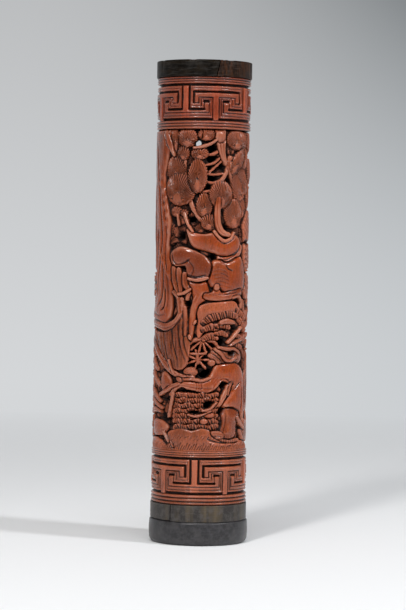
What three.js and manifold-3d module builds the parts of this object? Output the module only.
// Bamboo scent holder: a carved and pierced culm on a turned foot, closed by a small lid.
// Millimetres, +Z up, origin in the middle of the foot's underside. The front faces -Y.
// Angles go round the culm in degrees: 0 is the front, positive turns towards +X.
import * as THREE from "three";
import { mergeVertices } from "three/addons/utils/BufferGeometryUtils.js";
import Module from "manifold-3d";

const wasm = await Module();
wasm.setup();

// Heights
const FOOT_HEIGHT = 10.4;
const CULM_LENGTH = 202.7;
const LOWER_BAND_HEIGHT = 7.4;
const UPPER_BAND_HEIGHT = 7.4;
const LOWER_END_STRIP = 5.2;
const LOWER_FRET_HEIGHT = 15.3;
const LOWER_INNER_STRIP = 3.4;
const UPPER_INNER_STRIP = 4.3;
const UPPER_FRET_HEIGHT = 15;
const UPPER_END_STRIP = 3.7;
const GRASS_BANK_HEIGHT = 3.6;

// Radii and walls
const FOOT_BULGE_RADIUS = 22.1;
const FOOT_SHOULDER_RADIUS = 22;
const FOOT_TOP_RADIUS = 21.5;
const FOOT_BASE_RADIUS = 20.9;
const CULM_BASE_RADIUS = 21.35;
const CULM_TOP_RADIUS = 20.9;
const BORE_RADIUS = 15.2;
const BAND_THICKNESS = 2.4;
const LOWER_BAND_PROUD = 0.15;
const UPPER_BAND_PROUD = 0.3;
const BAND_EDGE = 0.4;
const GLUE_GAP = 0.05;
const BAND_BUTT_GAP = 0.25;

// Carving
const GROUND_DEPTH = 2;
const GROUND_SLOPE = 0.6;
const GRASS_BANK_DEPTH = 0.4;
const ROOT_DEPTH = 1;
const SKIN_SETBACK = 0.1;
const MASS_DOME = 0.3;
const MASS_DOME_SHARE = 0.66;
const MASS_EDGE_DROP = 1.1;
const SWELL_EDGE = 1;
const SWELL_EDGE_DROP = 0.9;
const LIMB_TOP_SHARE = 0.6;
const LIMB_FOOT_SHARE = 1.4;
const GOUGE_SPREAD = 1.5;
const SWAG_HALF_WIDTH = 1.1;
const SWAG_ARCH = 0.4;
const SPOKE_HALF_WIDTH = 0.85;
const SLIGHT_RELIEF = 0.1;
const LOW_RELIEF = 0.35;
const DEEP_RELIEF = 0.7;
const FRET_DEPTH = 1.3;
const FRET_GROOVE_WIDTH = 1.1;
const FRET_FOOT_SHARE = 0.08;
const BEAD_LINE_WIDTH = 0.6;
const BEAD_LINE_DEPTH = 0.35;

// Foot
const SPIGOT_HEIGHT = 7;
const SPIGOT_CLEARANCE = 0.3;
const SPIGOT_EDGE = 0.8;
const FOOT_EDGE = 0.6;
const FOOT_BULGE_START = 2.2;
const FOOT_BULGE_LEVEL = 4.6;
const FOOT_SHOULDER_LEVEL = 7.2;

// Incense socket
const SOCKET_RADIUS = 2.9;
const SOCKET_NECK_RADIUS = 2.4;
const SOCKET_TIP_RADIUS = 2.1;
const SOCKET_BORE_RADIUS = 1.1;
const SOCKET_FLOOR = 1.5;
const SOCKET_COUNTERSINK = 0.5;
const SOCKET_COUNTERSINK_DEPTH = 1;
const SOCKET_DEPTH = 7.5;
const SOCKET_STANDING = 7;
const SOCKET_COLLAR_RADIUS = 4.2;
const SOCKET_COLLAR_HEIGHT = 1;
const SOCKET_CLEARANCE = 0.05;

// Lid
const LID_SEAT_RADIUS = 17;
const LID_SEAT_DEPTH = 3;
const LID_CLEARANCE = 0.3;
const LID_RECESS = 0.5;
const LID_EDGE = 0.5;
const LID_DISH = 0.6;
const LID_PLUG_LENGTH = 6;
const LID_PLUG_EDGE = 0.8;
const VENT_RADIUS = 1.9;
const VENT_COUNTERSINK = 0.6;
const VENT_BOSS_WIDTH = 3;

// Levels that follow from the sizes above
const CULM_BOTTOM = FOOT_HEIGHT;
const CULM_TOP = CULM_BOTTOM + CULM_LENGTH;
const LOWER_BAND_TOP = CULM_BOTTOM + LOWER_BAND_HEIGHT;
const LOWER_FRET_BOTTOM = LOWER_BAND_TOP + LOWER_END_STRIP;
const LOWER_FRET_TOP = LOWER_FRET_BOTTOM + LOWER_FRET_HEIGHT;
const SCENE_BOTTOM = LOWER_FRET_TOP + LOWER_INNER_STRIP;
const UPPER_BAND_BOTTOM = CULM_TOP - UPPER_BAND_HEIGHT;
const UPPER_FRET_TOP = UPPER_BAND_BOTTOM - UPPER_END_STRIP;
const UPPER_FRET_BOTTOM = UPPER_FRET_TOP - UPPER_FRET_HEIGHT;
const SCENE_TOP = UPPER_FRET_BOTTOM - UPPER_INNER_STRIP;

// How finely the forms are faceted
const SEGMENTS = 32;
const SOCKET_SEGMENTS = 24;
const STATION_ANGLE = 13;
const BLOCK_ANGLE = 8;
const MASS_SIDES = 7;
const HOLE_SIDES = 5;
const LIMB_STEPS_PER_POINT = 1.25;
const FACET_TOLERANCE = 0.22;
const WELD_DISTANCE = 1e-4;
const SMALLEST_DOUBLE_AREA = 0.004;
const LARGEST_TILT_COSINE = 0.7;

// The carving is drawn on a strip between these two levels and laid between the bead strips
const DRAWN_LEVELS = [41.7, 182.7];
const laid = (drawn) => THREE.MathUtils.mapLinear(drawn, ...DRAWN_LEVELS, SCENE_BOTTOM, SCENE_TOP);
const DRAWN_SCALE = (SCENE_TOP - SCENE_BOTTOM) / (DRAWN_LEVELS[1] - DRAWN_LEVELS[0]);

// The bars of the two fret bands, left as they were spaced by eye round the culm
const LOWER_FRET_BARS = [-48, -5, 34, 75, 122, 170, 217, 265];
const UPPER_FRET_BARS = [-66, -23, 14, 62, 108, 155, 201, 248];

const culmRadius = (height) =>
  THREE.MathUtils.mapLinear(height, CULM_BOTTOM, CULM_TOP, CULM_BASE_RADIUS, CULM_TOP_RADIUS);

function place(angle, height, radius) {
  const turn = THREE.MathUtils.degToRad(angle);
  return new THREE.Vector3(radius * Math.sin(turn), -radius * Math.cos(turn), height);
}

// Welds a geometry's corners, drops collapsed triangles and turns it into a solid.
function solidFrom(geometry) {
  const bare = geometry.clone();
  bare.deleteAttribute("normal");
  bare.deleteAttribute("uv");
  const welded = mergeVertices(bare, WELD_DISTANCE);
  const corners = welded.index.array;
  const points = welded.attributes.position;
  const kept = [];
  const a = new THREE.Vector3();
  const b = new THREE.Vector3();
  const c = new THREE.Vector3();
  let volume = 0;
  for (let i = 0; i < corners.length; i += 3) {
    const [p, q, r] = [corners[i], corners[i + 1], corners[i + 2]];
    if (p === q || q === r || r === p) continue;
    kept.push(p, q, r);
    a.fromBufferAttribute(points, p);
    b.fromBufferAttribute(points, q);
    c.fromBufferAttribute(points, r);
    volume += a.dot(b.cross(c));
  }
  if (volume < 0) kept.reverse();
  const mesh = new wasm.Mesh({
    numProp: 3,
    vertProperties: new Float32Array(points.array),
    triVerts: new Uint32Array(kept),
  });
  return new wasm.Manifold(mesh);
}

function geometryFrom(solid) {
  const mesh = solid.getMesh();
  const points = new Float32Array(mesh.numVert * 3);
  for (let i = 0; i < mesh.numVert; i += 1) {
    const start = i * mesh.numProp;
    points.set(mesh.vertProperties.subarray(start, start + 3), i * 3);
  }
  const geometry = new THREE.BufferGeometry();
  geometry.setAttribute("position", new THREE.BufferAttribute(points, 3));
  geometry.setIndex(new THREE.BufferAttribute(new Uint32Array(mesh.triVerts), 1));
  return geometry;
}

// Keeps the largest closed skin of a solid. This fills the sealed pockets that are left where
// carved masses lean on each other, and drops crumbs that the holes cut loose.
function largestSkin(solid) {
  const geometry = geometryFrom(solid);
  const corners = geometry.index.array;
  const points = geometry.attributes.position;
  const owner = Int32Array.from({ length: points.count }, (unused, i) => i);
  const find = (i) => {
    let root = i;
    while (owner[root] !== root) root = owner[root];
    owner[i] = root;
    return root;
  };
  for (let i = 0; i < corners.length; i += 3) {
    owner[find(corners[i + 1])] = find(corners[i]);
    owner[find(corners[i + 2])] = find(corners[i]);
  }
  const sizes = new Map();
  const [a, b, c] = [new THREE.Vector3(), new THREE.Vector3(), new THREE.Vector3()];
  for (let i = 0; i < corners.length; i += 3) {
    a.fromBufferAttribute(points, corners[i]);
    b.fromBufferAttribute(points, corners[i + 1]);
    c.fromBufferAttribute(points, corners[i + 2]);
    const skin = find(corners[i]);
    sizes.set(skin, (sizes.get(skin) ?? 0) + a.dot(b.cross(c)));
  }
  const [largest] = [...sizes].sort((p, q) => q[1] - p[1])[0];
  const kept = [];
  for (let i = 0; i < corners.length; i += 3) {
    if (find(corners[i]) === largest) kept.push(corners[i], corners[i + 1], corners[i + 2]);
  }
  geometry.setIndex(kept);
  return solidFrom(geometry);
}

// Closes up corners that lie almost in the faces round them, as long as the skin stays whole.
function thinned(solid, tolerance) {
  const geometry = geometryFrom(solid);
  const stored = geometry.attributes.position;
  const corners = geometry.index.array;
  const cornerAt = (unused, i) => new THREE.Vector3().fromBufferAttribute(stored, i);
  const points = Array.from({ length: stored.count }, cornerAt);
  const facesAt = points.map(() => new Set());
  const faces = [];
  for (let i = 0; i < corners.length; i += 3) {
    const face = [corners[i], corners[i + 1], corners[i + 2]];
    face.forEach((corner) => facesAt[corner].add(faces.length));
    faces.push(face);
  }
  const normalOf = (face) => {
    const [a, b, c] = face.map((corner) => points[corner]);
    return new THREE.Vector3().subVectors(b, a).cross(new THREE.Vector3().subVectors(c, a));
  };
  const ringOf = (corner) => {
    const ring = new Set();
    facesAt[corner].forEach((index) => faces[index].forEach((other) => ring.add(other)));
    ring.delete(corner);
    return ring;
  };
  // How far the skin would move if one corner slid onto another, or Infinity if it may not.
  const costOf = (corner, target, ring) => {
    const shared = [...ringOf(target)].filter((other) => ring.has(other));
    if (shared.length !== 2) return Infinity;
    let worst = 0;
    for (const index of facesAt[corner]) {
      const face = faces[index];
      if (face.includes(target)) continue;
      const before = normalOf(face);
      const after = normalOf(face.map((other) => (other === corner ? target : other)));
      const length = before.length();
      const newLength = after.length();
      if (newLength < SMALLEST_DOUBLE_AREA) return Infinity;
      if (length > SMALLEST_DOUBLE_AREA) {
        if (before.dot(after) < LARGEST_TILT_COSINE * length * newLength) return Infinity;
        const lift = points[target].clone().sub(points[corner]).dot(before) / length;
        worst = Math.max(worst, Math.abs(lift));
      }
    }
    return worst;
  };
  const slide = (corner, target) => {
    for (const index of [...facesAt[corner]]) {
      const face = faces[index];
      if (face.includes(target)) {
        face.forEach((other) => facesAt[other].delete(index));
        faces[index] = null;
      } else {
        face[face.indexOf(corner)] = target;
        facesAt[target].add(index);
      }
    }
    facesAt[corner].clear();
  };
  for (const limit of [tolerance / 20, tolerance / 5, tolerance / 2, tolerance]) {
    for (let corner = 0; corner < points.length; corner += 1) {
      if (facesAt[corner].size === 0) continue;
      const ring = ringOf(corner);
      let best = limit;
      let choice = -1;
      for (const target of ring) {
        const cost = costOf(corner, target, ring);
        if (cost < best) {
          best = cost;
          choice = target;
        }
      }
      if (choice >= 0) slide(corner, choice);
    }
  }
  geometry.setIndex(faces.filter((face) => face !== null).flat());
  return solidFrom(geometry);
}

// Joins many solids two by two, which keeps each join small.
function joined(solids) {
  let layer = solids;
  while (layer.length > 1) {
    const next = [];
    for (let i = 0; i < layer.length; i += 2) {
      next.push(i + 1 < layer.length ? layer[i].add(layer[i + 1]) : layer[i]);
    }
    layer = next;
  }
  return layer[0];
}

// A turned piece from [radius, height] pairs. The culm's angle 0 falls on a corner of the facets.
function turned(profile, segments = SEGMENTS) {
  const outline = profile.map(([radius, height]) => new THREE.Vector2(radius, height));
  const geometry = new THREE.LatheGeometry(outline, segments);
  geometry.rotateX(Math.PI / 2);
  return solidFrom(geometry);
}

// A closed skin over rings of points, with a fan over each end ring. The last fan may rise to a hub.
function loft(rings, topHub = null) {
  const count = rings[0].length;
  const points = [];
  const corners = [];
  rings.forEach((ring) => ring.forEach((point) => points.push(point.x, point.y, point.z)));
  for (let level = 0; level + 1 < rings.length; level += 1) {
    for (let i = 0; i < count; i += 1) {
      const here = level * count + i;
      const beside = level * count + ((i + 1) % count);
      corners.push(here, beside, beside + count, here, beside + count, here + count);
    }
  }
  const closeEnd = (level, facesBack, middle) => {
    points.push(middle.x, middle.y, middle.z);
    const hub = points.length / 3 - 1;
    for (let i = 0; i < count; i += 1) {
      const here = level * count + i;
      const beside = level * count + ((i + 1) % count);
      corners.push(...(facesBack ? [hub, beside, here] : [hub, here, beside]));
    }
  };
  const middleOf = (ring) => {
    const middle = new THREE.Vector3();
    ring.forEach((point) => middle.add(point));
    return middle.divideScalar(count);
  };
  closeEnd(0, true, middleOf(rings[0]));
  closeEnd(rings.length - 1, false, topHub ?? middleOf(rings.at(-1)));
  const geometry = new THREE.BufferGeometry();
  geometry.setAttribute("position", new THREE.Float32BufferAttribute(points, 3));
  geometry.setIndex(corners);
  return solidFrom(geometry);
}

// A curved block between two angles, two heights and two radii.
function block(fromAngle, toAngle, bottom, top, inner, outer) {
  const steps = Math.max(1, Math.ceil((toAngle - fromAngle) / BLOCK_ANGLE));
  const rings = [];
  for (let i = 0; i <= steps; i += 1) {
    const angle = THREE.MathUtils.lerp(fromAngle, toAngle, i / steps);
    rings.push([
      place(angle, bottom, inner),
      place(angle, bottom, outer),
      place(angle, top, outer),
      place(angle, top, inner),
    ]);
  }
  return loft(rings);
}

// An oval outline on the culm: half sizes in degrees along it and drawn millimetres up it, and a lean.
function oval(angle, height, halfAngle, halfHeight, lean, radius, share, sides) {
  const ring = [];
  const perDegree = (Math.PI * culmRadius(height)) / 180;
  const turn = THREE.MathUtils.degToRad(lean);
  for (let i = 0; i < sides; i += 1) {
    const step = (i * 2 * Math.PI) / sides;
    const along = Math.cos(step) * halfAngle * perDegree * share;
    const up = Math.sin(step) * halfHeight * DRAWN_SCALE * share;
    const across = (along * Math.cos(turn) - up * Math.sin(turn)) / perDegree;
    const rise = along * Math.sin(turn) + up * Math.cos(turn);
    ring.push(place(angle + across, height + rise, radius));
  }
  return ring;
}

const skinAt = (height, depth) => culmRadius(height) - SKIN_SETBACK - depth;
const rootAt = (height) => culmRadius(height) - GROUND_DEPTH - ROOT_DEPTH;

// A carved mass with an oval outline, steep at its edge and domed in its middle.
function mass(angle, drawn, halfAngle, halfHeight, lean = 0, depth = 0) {
  const height = laid(drawn);
  const skin = skinAt(height, depth);
  const ring = (radius, share) => {
    return oval(angle, height, halfAngle, halfHeight, lean, radius, share, MASS_SIDES);
  };
  const rings = [
    ring(rootAt(height), 1),
    ring(skin - MASS_EDGE_DROP, 1),
    ring(skin - MASS_DOME, MASS_DOME_SHARE),
  ];
  return loft(rings, place(angle, height, skin));
}

// A carved mass that runs round the culm, from [angle, drawn low edge, drawn high edge] stations.
function swell(stations, depth = 0) {
  const curve = new THREE.CatmullRomCurve3(stations.map((station) => new THREE.Vector3(...station)));
  const span = stations.at(-1)[0] - stations[0][0];
  const steps = Math.max(stations.length - 1, Math.ceil(span / STATION_ANGLE));
  const rings = [];
  for (let i = 0; i <= steps; i += 1) {
    const station = curve.getPoint(i / steps);
    const low = laid(station.y);
    const high = laid(station.z);
    const edge = Math.min(SWELL_EDGE, (high - low) / 3);
    const drop = i === 0 || i === steps ? SWELL_EDGE_DROP : 0;
    const at = (height, sunk) => place(station.x, height, skinAt(height, depth + drop + sunk));
    rings.push([
      place(station.x, low, rootAt(low)),
      at(low, SWELL_EDGE_DROP),
      at(low + edge, 0),
      at(high - edge, 0),
      at(high, SWELL_EDGE_DROP),
      place(station.x, high, rootAt(high)),
    ]);
  }
  return loft(rings);
}

// A carved mass that runs up the culm, from [drawn height, from angle, to angle] stations.
function column(stations, depth = 0) {
  const widest = Math.max(...stations.map(([drawn, from, to]) => to - from));
  const spans = Math.ceil(widest / STATION_ANGLE);
  const rings = stations.map(([drawn, from, to], level) => {
    const height = laid(drawn);
    const edge = THREE.MathUtils.radToDeg(SWELL_EDGE / culmRadius(height));
    const drop = level === 0 || level === stations.length - 1 ? SWELL_EDGE_DROP : 0;
    const side = skinAt(height, depth + SWELL_EDGE_DROP);
    const ring = [place(from, height, rootAt(height)), place(from, height, side)];
    for (let i = 0; i <= spans; i += 1) {
      const angle = THREE.MathUtils.lerp(from + edge, to - edge, i / spans);
      ring.push(place(angle, height, skinAt(height, depth + drop)));
    }
    ring.push(place(to, height, side), place(to, height, rootAt(height)));
    return ring;
  });
  return loft(rings);
}

// Rings of a limb's section along a smooth path of [angle, drawn height, half width]. The section
// is a list of [share of the half width to one side, radius at a height].
function along(path, section, steps) {
  const curve = new THREE.CatmullRomCurve3(path.map((point) => new THREE.Vector3(...point)));
  const rings = [];
  for (let i = 0; i <= steps; i += 1) {
    const point = curve.getPoint(i / steps);
    const heading = curve.getTangent(i / steps);
    const height = laid(point.y);
    const perDegree = (Math.PI * culmRadius(height)) / 180;
    const run = new THREE.Vector2(heading.x * perDegree, heading.y * DRAWN_SCALE).normalize();
    const half = point.z * DRAWN_SCALE;
    rings.push(
      section.map(([side, radius]) =>
        place(point.x - (run.y * side * half) / perDegree, height + run.x * side * half, radius(height)),
      ),
    );
  }
  return rings;
}

// A carved limb, such as a branch, a fold or a leaf: a strand with sloped sides.
function limb(path, depth = 0, steps = Math.ceil(path.length * LIMB_STEPS_PER_POINT)) {
  const skin = (height) => skinAt(height, depth);
  const section = [
    [-LIMB_FOOT_SHARE, rootAt],
    [-LIMB_TOP_SHARE, skin],
    [LIMB_TOP_SHARE, skin],
    [LIMB_FOOT_SHARE, rootAt],
  ];
  return loft(along(path, section, steps));
}

// A V-shaped cut along a path, as a gouge leaves it.
function gouge(path, depth) {
  const above = (height) => culmRadius(height) + depth / 2;
  const bottom = (height) => skinAt(height, depth);
  const section = [
    [-GOUGE_SPREAD, above],
    [0, bottom],
    [GOUGE_SPREAD, above],
  ];
  return loft(along(path, section, path.length));
}

// A hole cut right through the wall, drawn as an oval.
function hole(angle, drawn, halfAngle, halfHeight, lean) {
  const outside = Math.max(CULM_BASE_RADIUS, CULM_TOP_RADIUS) + ROOT_DEPTH;
  const ring = (radius) => oval(angle, laid(drawn), halfAngle, halfHeight, lean, radius, 1, HOLE_SIDES);
  return loft([ring(BORE_RADIUS - ROOT_DEPTH), ring(outside)]);
}

// The key fret: between a hanging bar and a rising bar two hooked grooves lock into each other, and
// a straight one follows the rising bar.
// Each groove is a chain of [share of the way to the rising bar, share of the band's height].
const FRET_HOOKS = [
  [[0.12, 0.99], [0.12, 0.29], [0.62, 0.29], [0.62, 0.5]],
  [[1.02, 0.8], [0.27, 0.8], [0.27, 0.49]],
  [[0.905, 0.04], [0.905, 0.635]],
];

// What one fret band has between each two neighbouring bars, from the hanging to the rising bar.
function fretBays(bars) {
  return bars.map((bar, index) => {
    const next = bar + ((bars[(index + 1) % bars.length] - bar + 360) % 360);
    return index % 2 === 1 ? [bar, next] : [next, bar];
  });
}

function fretGrooves(bars, bottom, top) {
  const radius = culmRadius(bottom);
  const half = FRET_GROOVE_WIDTH / 2;
  const halfAngle = THREE.MathUtils.radToDeg(half / radius);
  const grooves = [];
  fretBays(bars).forEach(([hanging, rising]) => {
    FRET_HOOKS.forEach((hook) => {
      for (let i = 0; i + 1 < hook.length; i += 1) {
        const ends = [hook[i], hook[i + 1]];
        const angles = ends.map(([share]) => THREE.MathUtils.lerp(hanging, rising, share));
        const heights = ends.map(([, share]) => THREE.MathUtils.lerp(bottom, top, share));
        grooves.push(
          block(
            Math.min(...angles) - halfAngle,
            Math.max(...angles) + halfAngle,
            Math.min(...heights) - half,
            Math.max(...heights) + half,
            radius - FRET_DEPTH,
            radius + ROOT_DEPTH,
          ),
        );
      }
    });
  });
  return grooves;
}

// Where a rising bar crosses the lowest groove of its band and stands on the plain strip.
function fretFeet(bars, bottom) {
  const reach = FRET_GROOVE_WIDTH / 2 + GLUE_GAP;
  const skin = culmRadius(bottom) - SKIN_SETBACK;
  const feet = [];
  fretBays(bars).forEach(([hanging, rising], index) => {
    if (index % 2 === 0) return;
    const halfAngle = Math.abs(rising - hanging) * FRET_FOOT_SHARE;
    const inner = skin - FRET_DEPTH - ROOT_DEPTH;
    const [from, to] = [rising - halfAngle, rising + halfAngle];
    feet.push(block(from, to, bottom - reach, bottom + reach, inner, skin));
  });
  return feet;
}

// The bare culm: bored through, rebated at both ends, sunk to the ground of the carving, with the
// lines of the bead strips, the grooves that run round each fret band and the seat for the lid.
function bareCulm() {
  const lowerRebate = culmRadius(LOWER_BAND_TOP) - BAND_THICKNESS;
  const upperRebate = culmRadius(UPPER_BAND_BOTTOM) - BAND_THICKNESS;
  const bead = (from, to) => {
    const height = (from + to) / 2;
    return [
      [culmRadius(height), height - BEAD_LINE_WIDTH / 2],
      [culmRadius(height) - BEAD_LINE_DEPTH, height],
      [culmRadius(height), height + BEAD_LINE_WIDTH / 2],
    ];
  };
  const groove = (height) => [
    [culmRadius(height), height - FRET_GROOVE_WIDTH / 2],
    [culmRadius(height) - FRET_DEPTH, height - FRET_GROOVE_WIDTH / 2],
    [culmRadius(height) - FRET_DEPTH, height + FRET_GROOVE_WIDTH / 2],
    [culmRadius(height), height + FRET_GROOVE_WIDTH / 2],
  ];
  const sunk = (height, depth = GROUND_DEPTH) => culmRadius(height) - depth;
  const bankTop = SCENE_BOTTOM + GRASS_BANK_HEIGHT;
  return turned([
    [BORE_RADIUS, CULM_BOTTOM],
    [lowerRebate, CULM_BOTTOM],
    [lowerRebate, LOWER_BAND_TOP],
    [culmRadius(LOWER_BAND_TOP), LOWER_BAND_TOP],
    ...bead(LOWER_BAND_TOP, LOWER_FRET_BOTTOM),
    ...groove(LOWER_FRET_BOTTOM),
    ...groove(LOWER_FRET_TOP),
    [culmRadius(SCENE_BOTTOM), SCENE_BOTTOM],
    [sunk(SCENE_BOTTOM, GRASS_BANK_DEPTH), SCENE_BOTTOM + GROUND_SLOPE],
    [sunk(bankTop, GRASS_BANK_DEPTH), bankTop],
    [sunk(bankTop), bankTop + GROUND_SLOPE],
    [sunk(SCENE_TOP), SCENE_TOP - GROUND_SLOPE],
    [culmRadius(SCENE_TOP), SCENE_TOP],
    ...bead(SCENE_TOP, UPPER_FRET_BOTTOM),
    ...groove(UPPER_FRET_BOTTOM),
    ...groove(UPPER_FRET_TOP),
    [culmRadius(UPPER_BAND_BOTTOM), UPPER_BAND_BOTTOM],
    [upperRebate, UPPER_BAND_BOTTOM],
    [upperRebate, CULM_TOP],
    [LID_SEAT_RADIUS, CULM_TOP],
    [LID_SEAT_RADIUS, CULM_TOP - LID_SEAT_DEPTH],
    [BORE_RADIUS, CULM_TOP - LID_SEAT_DEPTH],
    [BORE_RADIUS, CULM_BOTTOM],
  ]);
}

// Pine needles are carved as overlapping domes: [angle, height, half angle, half height, lean].
function pineClumps() {
  const high = [
    [-21, 179, 13.5, 4.6, 0],
    [47, 178.4, 16, 4.6, 0],
    [50, 168.6, 10, 7.2, -38],
    [51, 155.8, 9.5, 8.2, 24],
    [43, 146, 15.5, 6.4, 0],
    [24, 154.2, 16, 6, 0],
    [-31, 156.2, 22, 7, -14],
    [-7, 162.2, 13, 7.4, 0],
    [112, 176, 13, 6.2, 0],
    [92, 165, 12, 6, 10],
    [154, 175, 12, 6.4, 0],
    [184, 177, 14, 5.6, 0],
    [212, 174, 15, 6.6, 0],
    [262, 176, 12, 6.4, 0],
    [172, 165, 13, 5.6, -10],
    [200, 162, 13, 5.8, 8],
    [224, 161, 12, 5.6, 0],
    [112, 152, 14, 6, -8],
    [262, 160, 12, 6.6, 0],
    [176, 152, 14, 5.4, 0],
    [206, 150, 13, 5.6, 0],
  ];
  const low = [
    [-39, 178, 7.5, 6, 12],
    [4, 180.4, 11.5, 3, -4],
    [-27, 172, 10, 3.4, 0],
    [-5, 172, 12, 3, 0],
    [-37, 165, 14, 6.2, 8],
    [62, 170.6, 13, 5, 30],
    [62, 160.6, 13, 6.4, 34],
    [2, 149.4, 11, 5.4, 0],
    [9, 142, 12, 3.6, -8],
    [61, 148.6, 11, 4.4, 0],
    [-36, 146.6, 9, 2.4, 6],
    [86, 178, 12, 4.6, 0],
    [80, 154, 10, 5.6, 0],
    [92, 141, 11, 5, 0],
    [262, 144, 11, 5.4, 0],
  ];
  return [...high.map((clump) => mass(...clump)), ...low.map((clump) => mass(...clump, LOW_RELIEF))];
}

// The old trunk beside the front, which turns up again in a loop of bark at its foot.
function frontTrunk() {
  return [
    column([
      [184, -92, -52],
      [178, -92, -46],
      [170, -91, -50],
      [160, -90, -55],
      [150, -91, -50],
      [141, -92, -43],
      [131, -93, -46],
      [120, -92, -40],
      [108, -92, -38],
      [100, -93, -40],
      [97, -92, -52],
    ]),
    limb([[-25, 108, 1.2], [-26, 102, 1.6], [-33, 98, 1.8], [-48, 95.8, 1.9], [-90, 97.6, 1.8]]),
    swell(
      [
        [-92, 89.6, 93.4],
        [-72, 87.6, 93],
        [-52, 82, 93],
        [-34, 77.4, 97],
        [-24, 77.6, 102],
        [-14, 82, 98],
      ],
      DEEP_RELIEF,
    ),
    limb([[-96, 91, 1.7], [-70, 85.5, 1.9], [-50, 79.5, 1.7], [-34, 75.6, 1.3], [-8, 74.2, 0.8]]),
  ];
}

// The bark's deepest folds
function frontTrunkFolds() {
  return [
    gouge([[-78, 178, 1], [-66, 156, 1], [-60, 138, 1], [-68, 112, 1]], LOW_RELIEF),
    gouge([[-52, 116, 1], [-50.5, 108, 1.2], [-58, 103.2, 1]], GROUND_DEPTH),
    gouge([[-38, 118, 1], [-37.5, 106, 1.2], [-48, 98.2, 1]], GROUND_DEPTH),
    gouge([[-37, 95, 0.6], [-38, 82, 0.6]], DEEP_RELIEF + LOW_RELIEF),
    gouge([[-60, 92, 0.6], [-61, 85, 0.6]], DEEP_RELIEF + LOW_RELIEF),
  ];
}

// Branches and twigs: paths of [angle, height, half width].
function branches() {
  const bold = [
    [[22, 183, 2.8], [24, 176, 2.4], [30, 168, 1.4], [37, 167, 1.8]],
    [[20, 152, 1.5], [20, 142, 1.5], [34, 136.8, 1.2]],
    [[-23, 145.5, 0.8], [-12, 137.8, 0.7]],
    [[140, 154, 2.2], [152, 158, 1.8], [168, 157, 1.4], [184, 160, 1]],
    [[130, 162, 2], [116, 160, 1.5], [100, 158, 1]],
    [[246, 160, 1.8], [232, 154, 1.4], [216, 156, 1]],
    [[248, 142, 1.8], [262, 151, 1.3], [270, 151, 0.9]],
    [[129, 130, 2], [116, 133, 1.5], [102, 132, 1]],
    [[242, 128, 1.8], [230, 134, 1.3], [216, 136, 0.9]],
  ];
  const sunk = [
    [[36, 170, 1.4], [26, 161.5, 1.1], [14, 157, 0.8]],
    [[36, 165, 1.2], [43, 156, 0.9]],
    [[-24, 170, 1.1], [-22, 160, 1.2], [-12, 148, 1.1], [14, 138.5, 1]],
    [[-32, 145, 0.8], [-31, 140, 0.8]],
    [[-16, 88.2, 0.9], [3, 91, 0.9], [22, 87.6, 0.8]],
    [[36, 89.6, 0.8], [58, 95.8, 0.8]],
    [[34, 86.8, 0.9], [62, 89.6, 1]],
  ];
  return [...bold.map((path) => limb(path)), ...sunk.map((path) => limb(path, LOW_RELIEF))];
}

// Two more trunks on the sides that the front hides.
function rearTrunks() {
  return [
    column([
      [184, 126, 149],
      [170, 127, 149],
      [156, 123, 144],
      [144, 127, 147],
      [132, 124, 141],
      [120, 125, 144],
      [108, 129, 151],
      [98, 126, 158],
    ]),
    column([
      [184, 238, 252],
      [168, 243, 254],
      [150, 238, 250],
      [134, 244, 256],
      [118, 239, 252],
      [104, 244, 260],
      [96, 241, 266],
    ]),
  ];
}

// The upper figure bends over a rock: shoulders, skirt, sleeve, leg, sash and fist.
function upperFigure() {
  return [
    swell([
      [-22, 136, 138.8],
      [-13, 131.6, 137.8],
      [12, 128.8, 137.4],
      [26, 127.4, 134.8],
      [40, 127.8, 136],
      [57, 132.2, 134.8],
    ]),
    swell([
      [7, 115.6, 120],
      [14, 113.2, 125],
      [26, 112, 126],
      [42, 111.2, 125.8],
      [58, 111.6, 127.4],
      [70, 115.4, 120.4],
    ]),
    swell([
      [-44, 125.2, 128],
      [-34, 122.4, 130.8],
      [-20, 119, 131.2],
      [-8, 117, 129.6],
      [4, 117, 127.2],
      [13.5, 120.6, 124],
    ]),
    swell([[20, 124.6, 127.6], [40, 124.6, 129.4], [60, 128.4, 132.4]], LOW_RELIEF),
    limb([[-5, 117, 4.6], [-1, 111.6, 3.9], [-7, 105, 2.4], [-11.5, 97, 1.8], [-13, 90, 1.1]]),
    swell([
      [3, 108.2, 111],
      [12, 107.8, 112.2],
      [18, 107.8, 115.2],
      [27, 107.8, 111.8],
      [46, 108.8, 112.9],
      [60, 110.2, 113.2],
    ]),
    ...[
      [[-38, 121.4, 1.3], [-36, 116, 1.5], [-31, 111.4, 1.1]],
      [[-30, 121, 1.4], [-28, 112, 1.1]],
      [[-22, 119, 1.3], [-15, 111.8, 1]],
      [[-36, 111, 1.2], [-28, 103, 1.1]],
      [[-21, 104.6, 1], [-20, 93, 1]],
    ].map((fold) => limb(fold, LOW_RELIEF)),
  ];
}

// The smooth rock under the upper figure and the ribbed leaves below it.
function middleGround() {
  return [
    swell(
      [
        [-7, 95.6, 103],
        [-2, 90.4, 105.4],
        [6, 95, 106.6],
        [16, 99.6, 107],
        [38, 100.2, 107.8],
        [54, 103.6, 105.6],
      ],
      LOW_RELIEF,
    ),
    ...[
      [[3, 91, 1.3], [18, 92.6, 1.5], [36, 92.8, 1.2]],
      [[3, 95.2, 1.3], [18, 96.4, 1.6], [38, 96.6, 1.4]],
      [[3, 98.4, 1.3], [22, 101, 1.6], [50, 101, 1.4]],
      [[26, 98.4, 1.2], [44, 98.4, 1.1]],
      [[50, 104, 1.2], [68, 98.8, 1.2]],
      [[54, 99.6, 1.1], [72, 94.6, 1.2]],
      [[47, 92.8, 1], [70, 90.6, 1.1]],
    ].map((leaf) => limb(leaf, LOW_RELIEF)),
  ];
}

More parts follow.
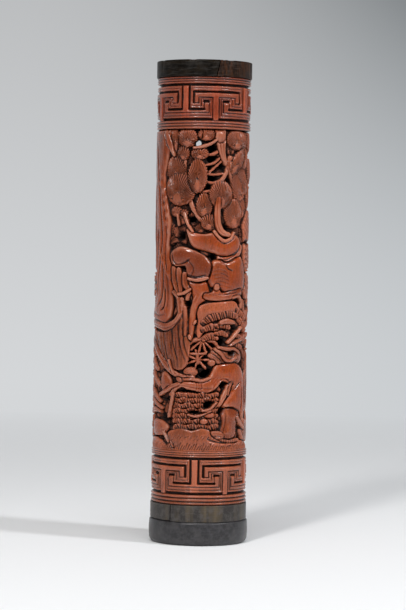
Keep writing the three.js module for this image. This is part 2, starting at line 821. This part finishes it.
// The lower figure strides to the left with one arm stretched out: hood, robe, arm, leg and shoe.
function lowerFigure() {
  return [
    swell([[12, 81.6, 85], [24, 79.6, 87.4], [40, 79, 87.6], [62, 81.6, 84.6]], LOW_RELIEF),
    swell([
      [0, 67.6, 71.6],
      [10, 67.4, 74.6],
      [22, 69.8, 79.4],
      [34, 72.4, 80.6],
      [48, 70.6, 80.6],
      [60, 66, 78.6],
      [71, 62, 71],
    ]),
    swell([[29, 60.8, 62.8], [38, 60, 66.4], [50, 59.4, 71], [62, 55.4, 74], [71, 53, 70]]),
    limb([[8, 70.4, 2.8], [-6, 70.4, 2.2], [-24, 71, 1.4], [-38, 66.4, 1]]),
    limb([[38, 70, 1.2], [20, 59.2, 1.1]]),
    swell(
      [
        [24, 47.2, 50.6],
        [31, 46.6, 59.8],
        [42, 46.8, 61],
        [52, 49, 59.8],
        [60, 55, 58.4],
      ],
      SLIGHT_RELIEF,
    ),
    mass(20.5, 48.8, 11, 1.9),
    limb([[54, 56, 1.2], [68, 51.6, 1.2]]),
    limb([[60, 50, 1.1], [72, 45, 1.1]], LOW_RELIEF),
  ];
}

// Rocks, stumps and mounds of the front, from its left edge to its right edge.
function frontRocks() {
  return [
    swell(
      [
        [-46, 44, 48.6],
        [-34, 44, 51],
        [-16, 44, 51.6],
        [2, 44, 52],
        [12, 44, 51],
        [18, 44, 48],
      ],
      LOW_RELIEF,
    ),
    swell([[-82, 48, 54.2], [-62, 47.4, 55], [-50, 48.4, 54], [-42, 50, 52.4]]),
    mass(-48, 71.6, 10, 4.4),
    mass(77, 140, 14, 8, -8),
    mass(80, 127, 17, 7.2, 10),
    mass(77, 114.4, 15, 6, -6),
    swell([[64, 60, 72], [74, 58.6, 74.4], [84, 58.6, 84], [94, 64, 83]], LOW_RELIEF),
    swell([[64, 47, 54], [78, 45, 55.4], [94, 46, 53.6]], LOW_RELIEF),
  ];
}

// Twigs at the left foot of the scene and ribbed leaves at its right edge
function sideSprays() {
  return [
    [[-58, 66, 0.9], [-44, 68, 1.1], [-28, 71, 0.9]],
    [[-35, 66.6, 1], [-41, 56.6, 0.9]],
    [[-90, 68, 1.1], [-58, 63, 1]],
    [[-92, 62.2, 1.1], [-54, 60, 0.9]],
    [[-92, 57, 1.1], [-56, 58, 0.9]],
    [[-82, 74, 1.2], [-68, 73.6, 1.4], [-60, 70, 1]],
    [[-94, 78, 1.2], [-66, 77.4, 1.1]],
    [[66, 101.4, 1.2], [80, 102, 1.4], [94, 100.6, 1.2]],
    [[68, 96.6, 1.2], [92, 97, 1.4]],
    [[68, 91.8, 1.2], [92, 92.4, 1.4]],
  ].map((spray) => limb(spray, LOW_RELIEF));
}

// A third figure stands on a rock on the side that the front hides, in the same robes.
function rearFigure() {
  return [
    mass(181, 139.6, 6.6, 3.8),
    swell([
      [158, 102, 119],
      [165, 95, 131],
      [174, 94, 135],
      [188, 94, 135],
      [198, 95, 131],
      [205, 102, 119],
    ]),
    limb([[160, 127, 2.2], [168, 119, 2.2], [181, 116.4, 1.6]]),
    limb([[203, 127, 2.2], [194, 119, 2.2], [182, 116.4, 1.6]]),
    swell([
      [148, 84, 89.4],
      [158, 79, 92.4],
      [172, 76.6, 92.6],
      [190, 76, 92],
      [202, 78.6, 89],
      [211, 81.6, 86],
    ]),
  ];
}

// Below that figure a bridge spans a stream, between a tall pierced rock and a mound.
function rearGround() {
  return [
    column([
      [46, 117, 154],
      [54, 121, 150],
      [62, 115, 146],
      [70, 122, 153],
      [78, 118, 149],
      [86, 125, 147],
      [93, 129, 143],
    ]),
    limb([[158, 55, 1.6], [170, 60.6, 1.6], [184, 62.4, 1.6], [198, 60, 1.6], [209, 54, 1.6]]),
    limb([[158, 49, 1], [184, 50, 1.2], [210, 49, 1]], LOW_RELIEF),
    limb([[158, 53, 1], [184, 54, 1.2], [210, 53, 1]], LOW_RELIEF),
    swell([[211, 46, 56], [223, 45, 67], [236, 45, 71], [247, 46, 62]]),
    swell([[236, 64, 76], [250, 58, 81], [262, 54, 78], [272, 56, 72]], LOW_RELIEF),
    swell([[86, 45, 51], [97, 44.6, 59], [108, 44.6, 60], [117, 46, 54]]),
    swell([[86, 99, 107], [97, 97, 111], [108, 98, 110], [119, 101, 106]]),
    swell([[211, 97, 104], [222, 94, 109], [234, 96, 106]]),
  ];
}

// Leaf sprays are ribbed swags, one row over the next: [from, to, lowest, rows, rise].
function leafSwags() {
  const swags = [];
  const beds = [
    [-37, 25, 52.8, 3, 2.3],
    [-37, 2, 59.7, 4, 2.2],
    [86, 118, 64, 4, 3],
    [212, 238, 79, 4, 3],
    [257, 272, 104, 5, 3.6],
  ];
  beds.forEach(([from, to, lowest, rows, rise]) => {
    for (let row = 0; row < rows; row += 1) {
      const height = lowest + row * rise;
      const path = [
        [from, height, SWAG_HALF_WIDTH],
        [(from + to) / 2, height + SWAG_ARCH, SWAG_HALF_WIDTH],
        [to, height, SWAG_HALF_WIDTH],
      ];
      swags.push(limb(path, LOW_RELIEF, path.length));
    }
  });
  return swags;
}

// Spokes that fan out round a hub: [angle, height, half angle, reach, first and last turn, spokes].
function rosettes() {
  const wheels = [
    [2, 90.6, 18, 6, -160, -20, 5],
    [-3, 81.8, 14, 4.2, 0, 300, 6],
    [103, 121, 13, 5, 0, 300, 6],
    [225, 119, 12, 5, 0, 300, 6],
    [102, 86, 14, 5.4, 0, 300, 6],
  ];
  const spokes = [];
  wheels.forEach(([angle, height, halfAngle, reach, first, last, count]) => {
    for (let i = 0; i < count; i += 1) {
      const turn = THREE.MathUtils.degToRad(THREE.MathUtils.lerp(first, last, i / (count - 1)));
      const across = angle + halfAngle * Math.cos(turn);
      const up = height + reach * Math.sin(turn);
      const path = [
        [angle, height, SPOKE_HALF_WIDTH],
        [across, up, SPOKE_HALF_WIDTH],
      ];
      spokes.push(limb(path, DEEP_RELIEF, 1));
    }
  });
  return [...spokes, mass(-12, 76.6, 9.5, 2.2, -4)];
}

// Holes pierced through to the bore: [angle, height, half angle, half height, lean].
function piercings() {
  const holes = [
    [-8, 176.4, 5, 1.2, 19],
    [12, 174.6, 6.4, 1.7, 30],
    [11, 169.8, 7, 1.3, 18],
    [23.5, 166.9, 4.6, 1.2, 8],
    [11, 161.2, 6.4, 1.2, 7],
    [34, 161, 3, 2, 0],
    [6, 157.4, 5, 1, 25],
    [-40.6, 143.4, 2.8, 1.6, 0],
    [-13.7, 143.2, 5.2, 1.2, -7],
    [32.2, 139.8, 6, 1.2, -24],
    [-28.4, 135.9, 5, 1.5, 15],
    [59.6, 130, 2.2, 3.4, 0],
    [15, 126.9, 4.2, 1.5, 40],
    [-24.2, 121.8, 3.6, 0.8, 0],
    [54.6, 107, 4.2, 1.7, -40],
    [-18.6, 106, 3.6, 1.6, -40],
    [80, 105.2, 11, 1.3, 0],
    [46.2, 95.4, 4.8, 1.3, -9],
    [65.9, 94.6, 3.4, 1.3, -40],
    [26.8, 89.7, 5.6, 1.6, 0],
    [14, 87.2, 3, 0.8, -20],
    [2, 86.2, 1.6, 1.5, 0],
    [-8, 85.8, 3, 0.7, 25],
    [80, 87, 7.4, 1, -8],
    [41.5, 84.9, 4.4, 1, 7],
    [5, 80.8, 2.4, 1.6, 0],
    [-9.5, 79.6, 3.6, 0.9, 25],
    [70, 79, 4.4, 3, 0],
    [6.3, 75.9, 8.8, 1.4, 24],
    [31.4, 70.9, 4.4, 0.9, 20],
    [-19, 67.8, 6, 0.8, 6],
    [10.1, 62.2, 6.6, 1.5, 27],
    [27.4, 59.4, 3, 1.6, 0],
    [-7.2, 58.6, 5.8, 0.7, 0],
    [80, 56.8, 7.6, 0.9, -5],
    [-50.5, 55.8, 5.6, 1.1, -5],
    [55, 52.8, 3.6, 1.1, -40],
    [-84, 83, 4, 1.2, -20],
    [-84, 60, 5, 1, 0],
    [101, 170.4, 4, 1.8, -20],
    [168, 171, 4.4, 1.4, 20],
    [229, 169, 4.4, 1.6, -20],
    [190, 145.6, 4.4, 1.6, 20],
    [222, 142.4, 5, 1.8, 0],
    [260, 136, 4.4, 1.8, 10],
    [118, 124, 3.4, 2.2, 0],
    [152, 130, 3.8, 3, 10],
    [151, 114, 3, 2.4, 0],
    [211, 128, 4, 2.4, -10],
    [211, 112, 3, 2, 0],
    [262, 126.6, 4.4, 1.6, 0],
    [95, 116, 4.4, 1.6, 10],
    [232, 114, 3.6, 1.4, 0],
    [92, 94, 4, 1.6, 0],
    [113, 93, 4, 1.8, 0],
    [112, 80, 4, 1.2, 0],
    [222, 75, 4.4, 1.6, 10],
    [250, 90, 5, 1.8, 0],
    [130, 59, 4, 2, 0],
    [140, 69, 3.6, 2.6, 0],
    [131, 78, 4, 2, 0],
    [160, 71.6, 5, 1.6, 10],
    [184, 73.4, 6, 1.4, 0],
    [184, 57.4, 10, 2, 0],
  ];
  return holes.map((cut) => hole(...cut));
}

function bambooTube() {
  const relief = joined([
    ...pineClumps(),
    ...frontTrunk(),
    ...rearTrunks(),
    ...branches(),
    ...upperFigure(),
    ...middleGround(),
    ...lowerFigure(),
    ...rearFigure(),
    ...frontRocks(),
    ...sideSprays(),
    ...rearGround(),
    ...leafSwags(),
    ...rosettes(),
    ...fretFeet(LOWER_FRET_BARS, LOWER_FRET_BOTTOM),
    ...fretFeet(UPPER_FRET_BARS, UPPER_FRET_BOTTOM),
  ]);
  const cuts = joined([
    ...frontTrunkFolds(),
    ...piercings(),
    ...fretGrooves(LOWER_FRET_BARS, LOWER_FRET_BOTTOM, LOWER_FRET_TOP),
    ...fretGrooves(UPPER_FRET_BARS, UPPER_FRET_BOTTOM, UPPER_FRET_TOP),
  ]);
  return thinned(largestSkin(bareCulm().add(relief).subtract(cuts)), FACET_TOLERANCE);
}

// The foot: a flat base, a bulging side, a step for the tube and a spigot that enters the bore.
function foot() {
  const spigot = BORE_RADIUS - SPIGOT_CLEARANCE;
  const spigotTop = FOOT_HEIGHT + SPIGOT_HEIGHT;
  const drilled = SOCKET_RADIUS + SOCKET_CLEARANCE;
  return turned([
    [0, 0],
    [FOOT_BASE_RADIUS - FOOT_EDGE, 0],
    [FOOT_BASE_RADIUS, FOOT_EDGE],
    [(FOOT_BASE_RADIUS + FOOT_BULGE_RADIUS) / 2, FOOT_BULGE_START],
    [FOOT_BULGE_RADIUS, FOOT_BULGE_LEVEL],
    [FOOT_SHOULDER_RADIUS, FOOT_SHOULDER_LEVEL],
    [FOOT_TOP_RADIUS, FOOT_HEIGHT - FOOT_EDGE],
    [FOOT_TOP_RADIUS - FOOT_EDGE, FOOT_HEIGHT],
    [spigot, FOOT_HEIGHT],
    [spigot, spigotTop - SPIGOT_EDGE],
    [spigot - SPIGOT_EDGE, spigotTop],
    [drilled, spigotTop],
    [drilled, spigotTop - SOCKET_DEPTH],
    [0, spigotTop - SOCKET_DEPTH],
  ]);
}

// The socket: a drilled ferrule with a collar that rests on the spigot.
function incenseSocket() {
  const seat = FOOT_HEIGHT + SPIGOT_HEIGHT;
  const bottom = seat - SOCKET_DEPTH + SOCKET_CLEARANCE;
  const top = seat + SOCKET_STANDING;
  return turned(
    [
      [0, bottom],
      [SOCKET_RADIUS, bottom],
      [SOCKET_RADIUS, seat],
      [SOCKET_COLLAR_RADIUS, seat],
      [SOCKET_COLLAR_RADIUS, seat + SOCKET_COLLAR_HEIGHT],
      [SOCKET_NECK_RADIUS, seat + SOCKET_COLLAR_HEIGHT],
      [SOCKET_TIP_RADIUS, top],
      [SOCKET_BORE_RADIUS + SOCKET_COUNTERSINK, top],
      [SOCKET_BORE_RADIUS, top - SOCKET_COUNTERSINK_DEPTH],
      [SOCKET_BORE_RADIUS, bottom + SOCKET_FLOOR],
      [0, bottom + SOCKET_FLOOR],
    ],
    SOCKET_SEGMENTS,
  );
}

// The lid: a flange that sits on the culm's seat, a plug that enters the bore and a vent.
function lid() {
  const flange = LID_SEAT_RADIUS - LID_CLEARANCE;
  const plug = BORE_RADIUS - LID_CLEARANCE;
  const seat = CULM_TOP - LID_SEAT_DEPTH;
  const top = CULM_TOP - LID_RECESS;
  return turned([
    [VENT_RADIUS, seat - LID_PLUG_LENGTH],
    [plug - LID_PLUG_EDGE, seat - LID_PLUG_LENGTH],
    [plug, seat - LID_PLUG_LENGTH + LID_PLUG_EDGE],
    [plug, seat],
    [flange, seat],
    [flange, top - LID_EDGE],
    [flange - LID_EDGE, top],
    [VENT_RADIUS + VENT_BOSS_WIDTH, top - LID_DISH],
    [VENT_RADIUS + VENT_COUNTERSINK, top - LID_DISH],
    [VENT_RADIUS, top - LID_DISH - VENT_COUNTERSINK],
    [VENT_RADIUS, seat - LID_PLUG_LENGTH],
  ]);
}

// One strip of an end band, bent round its rebate from one butt joint to the next.
function bandStrip(fromAngle, toAngle, bottom, top, skin, proud) {
  const outer = skin + proud;
  const inner = (skin - BAND_THICKNESS + GLUE_GAP) / Math.cos(Math.PI / SEGMENTS);
  const halfGap = THREE.MathUtils.radToDeg(BAND_BUTT_GAP / 2 / outer);
  const steps = Math.ceil((toAngle - fromAngle) * (SEGMENTS / 360));
  const rings = [];
  for (let i = 0; i <= steps; i += 1) {
    const angle = THREE.MathUtils.lerp(fromAngle + halfGap, toAngle - halfGap, i / steps);
    rings.push([
      place(angle, bottom, inner),
      place(angle, bottom, outer - BAND_EDGE),
      place(angle, bottom + BAND_EDGE, outer),
      place(angle, top - BAND_EDGE, outer),
      place(angle, top, outer - BAND_EDGE),
      place(angle, top, inner),
    ]);
  }
  return loft(rings);
}

const MATERIALS = {
  bamboo: new THREE.MeshStandardMaterial({ color: 0x8c4528, roughness: 0.35, metalness: 0 }),
  darkWood: new THREE.MeshStandardMaterial({ color: 0x35302c, roughness: 0.35, metalness: 0 }),
  footWood: new THREE.MeshStandardMaterial({ color: 0x444144, roughness: 0.4, metalness: 0 }),
  metal: new THREE.MeshStandardMaterial({ color: 0x8f7440, roughness: 0.4, metalness: 1 }),
};

const holder = new THREE.Group();

function addPiece(name, solid, material) {
  const mesh = new THREE.Mesh(geometryFrom(solid), material);
  mesh.name = name;
  holder.add(mesh);
}

addPiece("foot", foot(), MATERIALS.footWood);
addPiece("incense_socket", incenseSocket(), MATERIALS.metal);
addPiece("bamboo_tube", bambooTube(), MATERIALS.bamboo);
addPiece("lid", lid(), MATERIALS.darkWood);

// The butt joints of the end bands, as they fell round the culm
const LOWER_JOINTS = [-35, 70, 197, 325];
const UPPER_JOINTS = [17, 137, 257, 377];

for (let i = 0; i < 3; i += 1) {
  const lower = bandStrip(
    LOWER_JOINTS[i],
    LOWER_JOINTS[i + 1],
    CULM_BOTTOM,
    LOWER_BAND_TOP - GLUE_GAP,
    culmRadius(LOWER_BAND_TOP),
    LOWER_BAND_PROUD,
  );
  const upper = bandStrip(
    UPPER_JOINTS[i],
    UPPER_JOINTS[i + 1],
    UPPER_BAND_BOTTOM + GLUE_GAP,
    CULM_TOP,
    culmRadius(UPPER_BAND_BOTTOM),
    UPPER_BAND_PROUD,
  );
  addPiece(`lower_band_${i + 1}`, lower, MATERIALS.darkWood);
  addPiece(`upper_band_${i + 1}`, upper, MATERIALS.darkWood);
}

export default holder;
